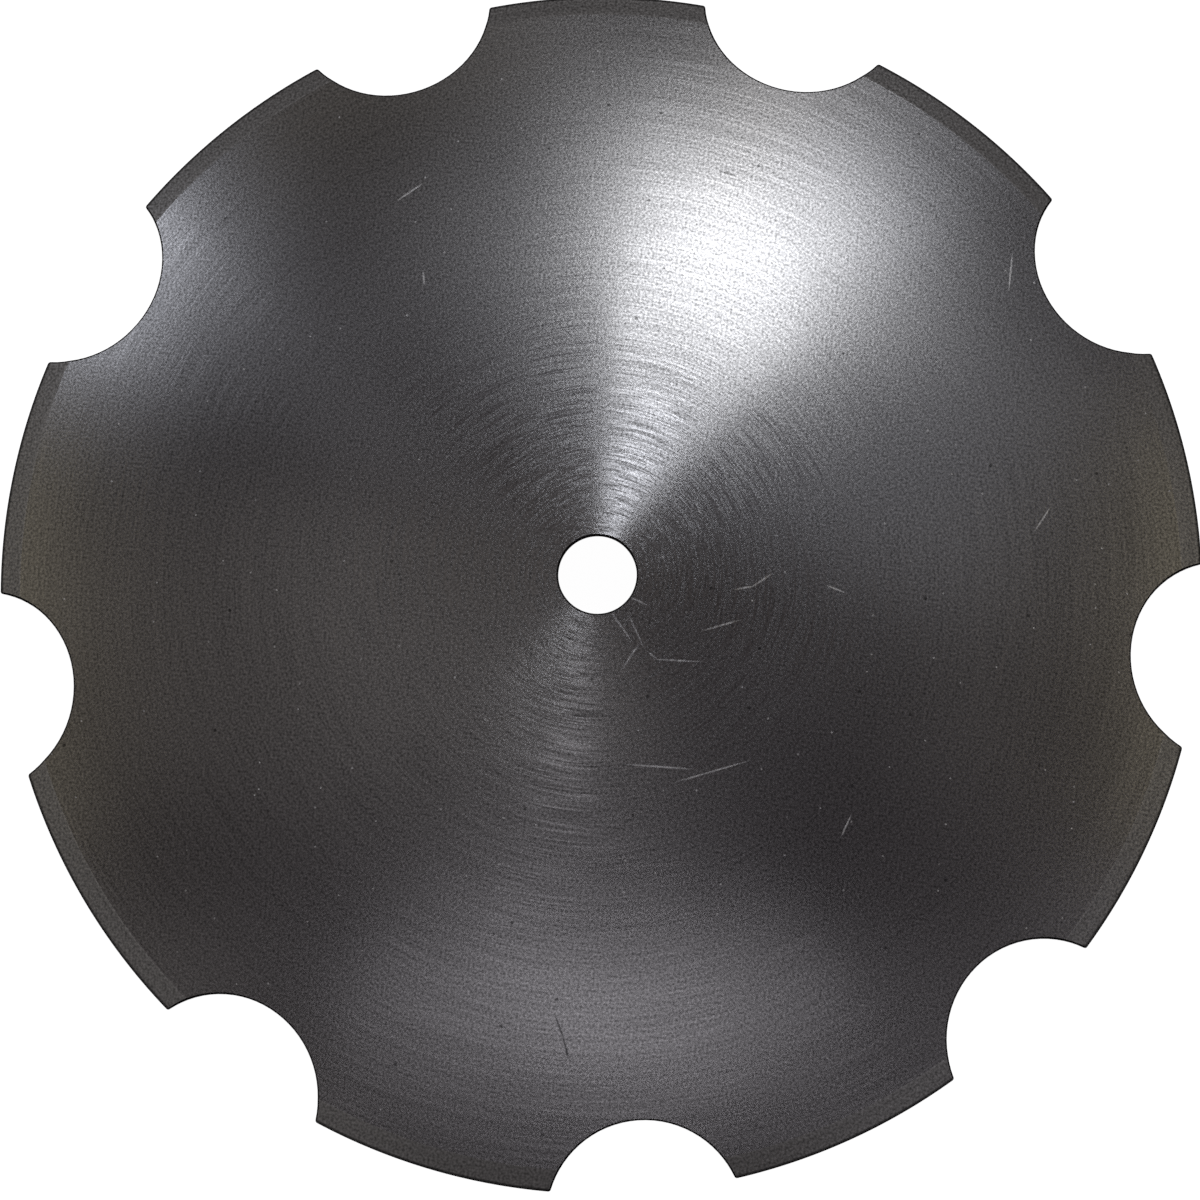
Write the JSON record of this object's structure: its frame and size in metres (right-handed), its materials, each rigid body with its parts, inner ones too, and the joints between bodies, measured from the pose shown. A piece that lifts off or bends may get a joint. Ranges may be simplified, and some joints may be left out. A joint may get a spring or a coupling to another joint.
{
  "type": "harrow disc blade",
  "caption": "Dished round steel harrow blade with a scalloped rim of round notches, a ground cutting bevel on each lobe and a plain round arbor hole.",
  "frame": {"origin": "centre of the arbor hole, half way through the plate", "axes": "+Z along the arbor axis, out of the convex crown; +X through the middle of a notch, Y to make a right-handed set"},
  "size_m": [0.5049, 0.508, 0.0697],
  "materials": {
    "blade_steel": "dark satin steel with fine turned rings"
  },
  "bodies": {
    "root": {"disc_blade": "blade_steel"}
  },
  "joints": []
}
